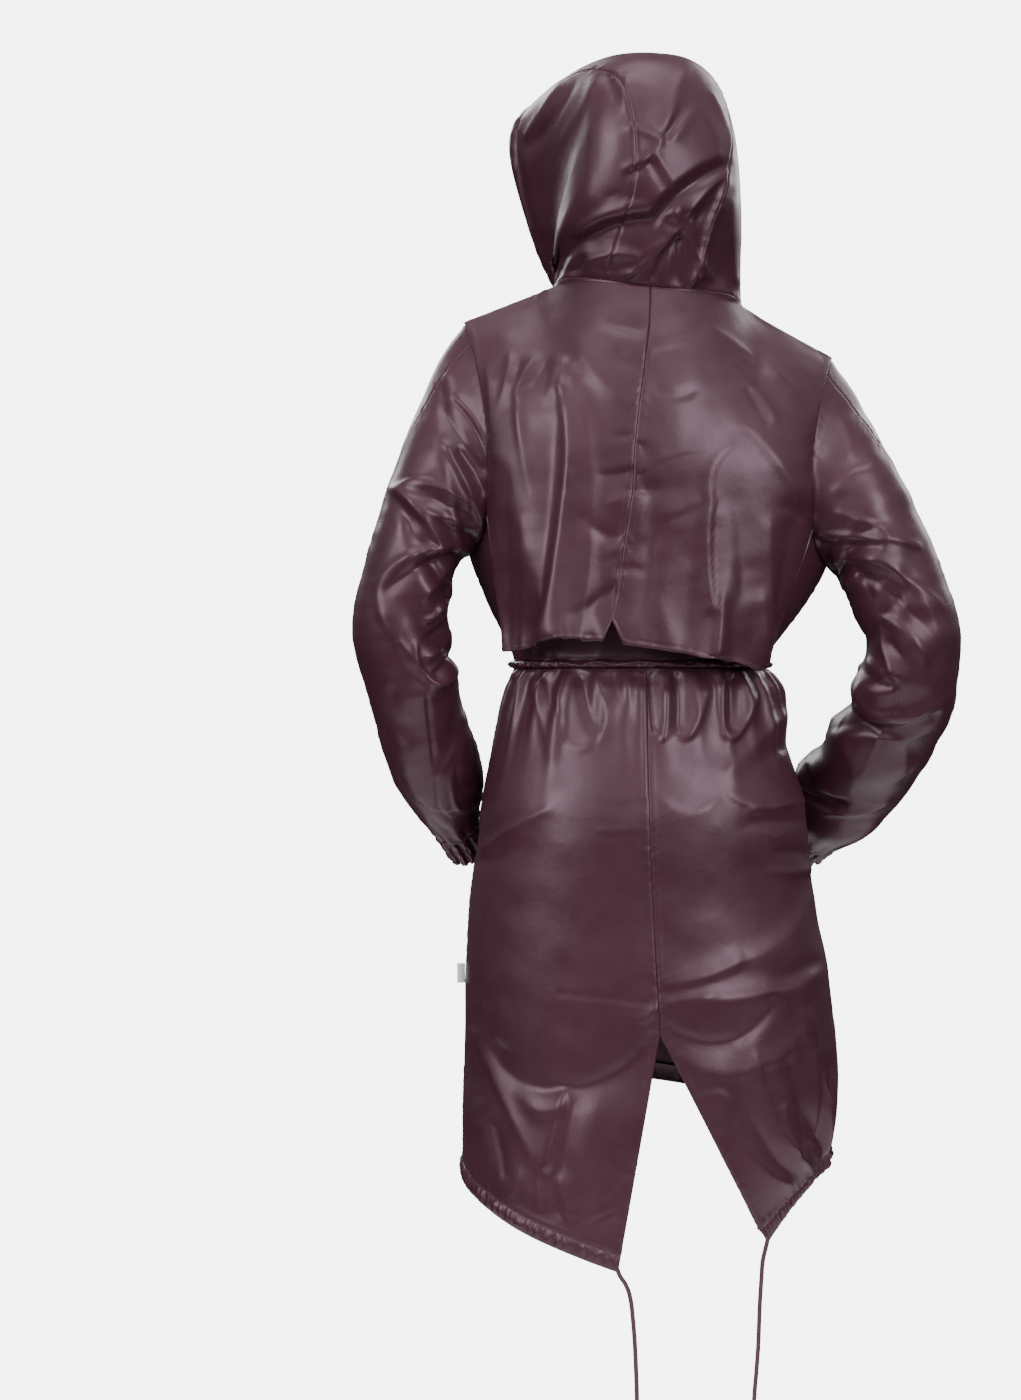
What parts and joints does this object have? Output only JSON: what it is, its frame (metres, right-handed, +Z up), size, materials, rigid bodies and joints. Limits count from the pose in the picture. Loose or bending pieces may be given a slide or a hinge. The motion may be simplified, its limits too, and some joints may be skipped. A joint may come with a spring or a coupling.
{
  "type": "parka",
  "caption": "Hooded fishtail parka in glossy coated cloth, worn and seen from behind: storm cape, drawn-in waist, split tail, ruched cuffs and hem drawcords.",
  "frame": {"origin": "base of the wearer's neck, midway between the shoulders that hold the coat up", "axes": "+Z up, the wearer faces -Y, +X towards the wearer's left hand"},
  "size_m": [0.6736, 0.3177, 1.5184],
  "materials": {
    "coated_cloth": "smooth rubbery coating with a satin shine",
    "label_ribbon": "matte woven ribbon",
    "snap_metal": "satin lacquer in the cloth's colour"
  },
  "bodies": {
    "root": {"back_bodice": "coated_cloth", "front_left_bodice": "coated_cloth", "front_right_bodice": "coated_cloth", "cape_left": "coated_cloth", "cape_right": "coated_cloth", "sleeve_left_back": "coated_cloth", "sleeve_left_front": "coated_cloth", "sleeve_right_back": "coated_cloth", "sleeve_right_front": "coated_cloth", "cuff_left": "coated_cloth", "cuff_right": "coated_cloth", "hood_gusset": "coated_cloth", "hood_left": "coated_cloth", "hood_right": "coated_cloth", "hood_hem": "coated_cloth", "skirt_back_left": "coated_cloth", "skirt_back_right": "coated_cloth", "skirt_front_left": "coated_cloth", "skirt_front_right": "coated_cloth", "hem_casing_left": "coated_cloth", "hem_casing_right": "coated_cloth", "waist_channel": "coated_cloth", "front_placket": "coated_cloth", "pocket_left": "coated_cloth", "pocket_right": "coated_cloth", "drawcord_left": "coated_cloth", "drawcord_right": "coated_cloth", "side_label": "label_ribbon", "snap_neck": "snap_metal", "snap_waist": "snap_metal"}
  },
  "joints": []
}
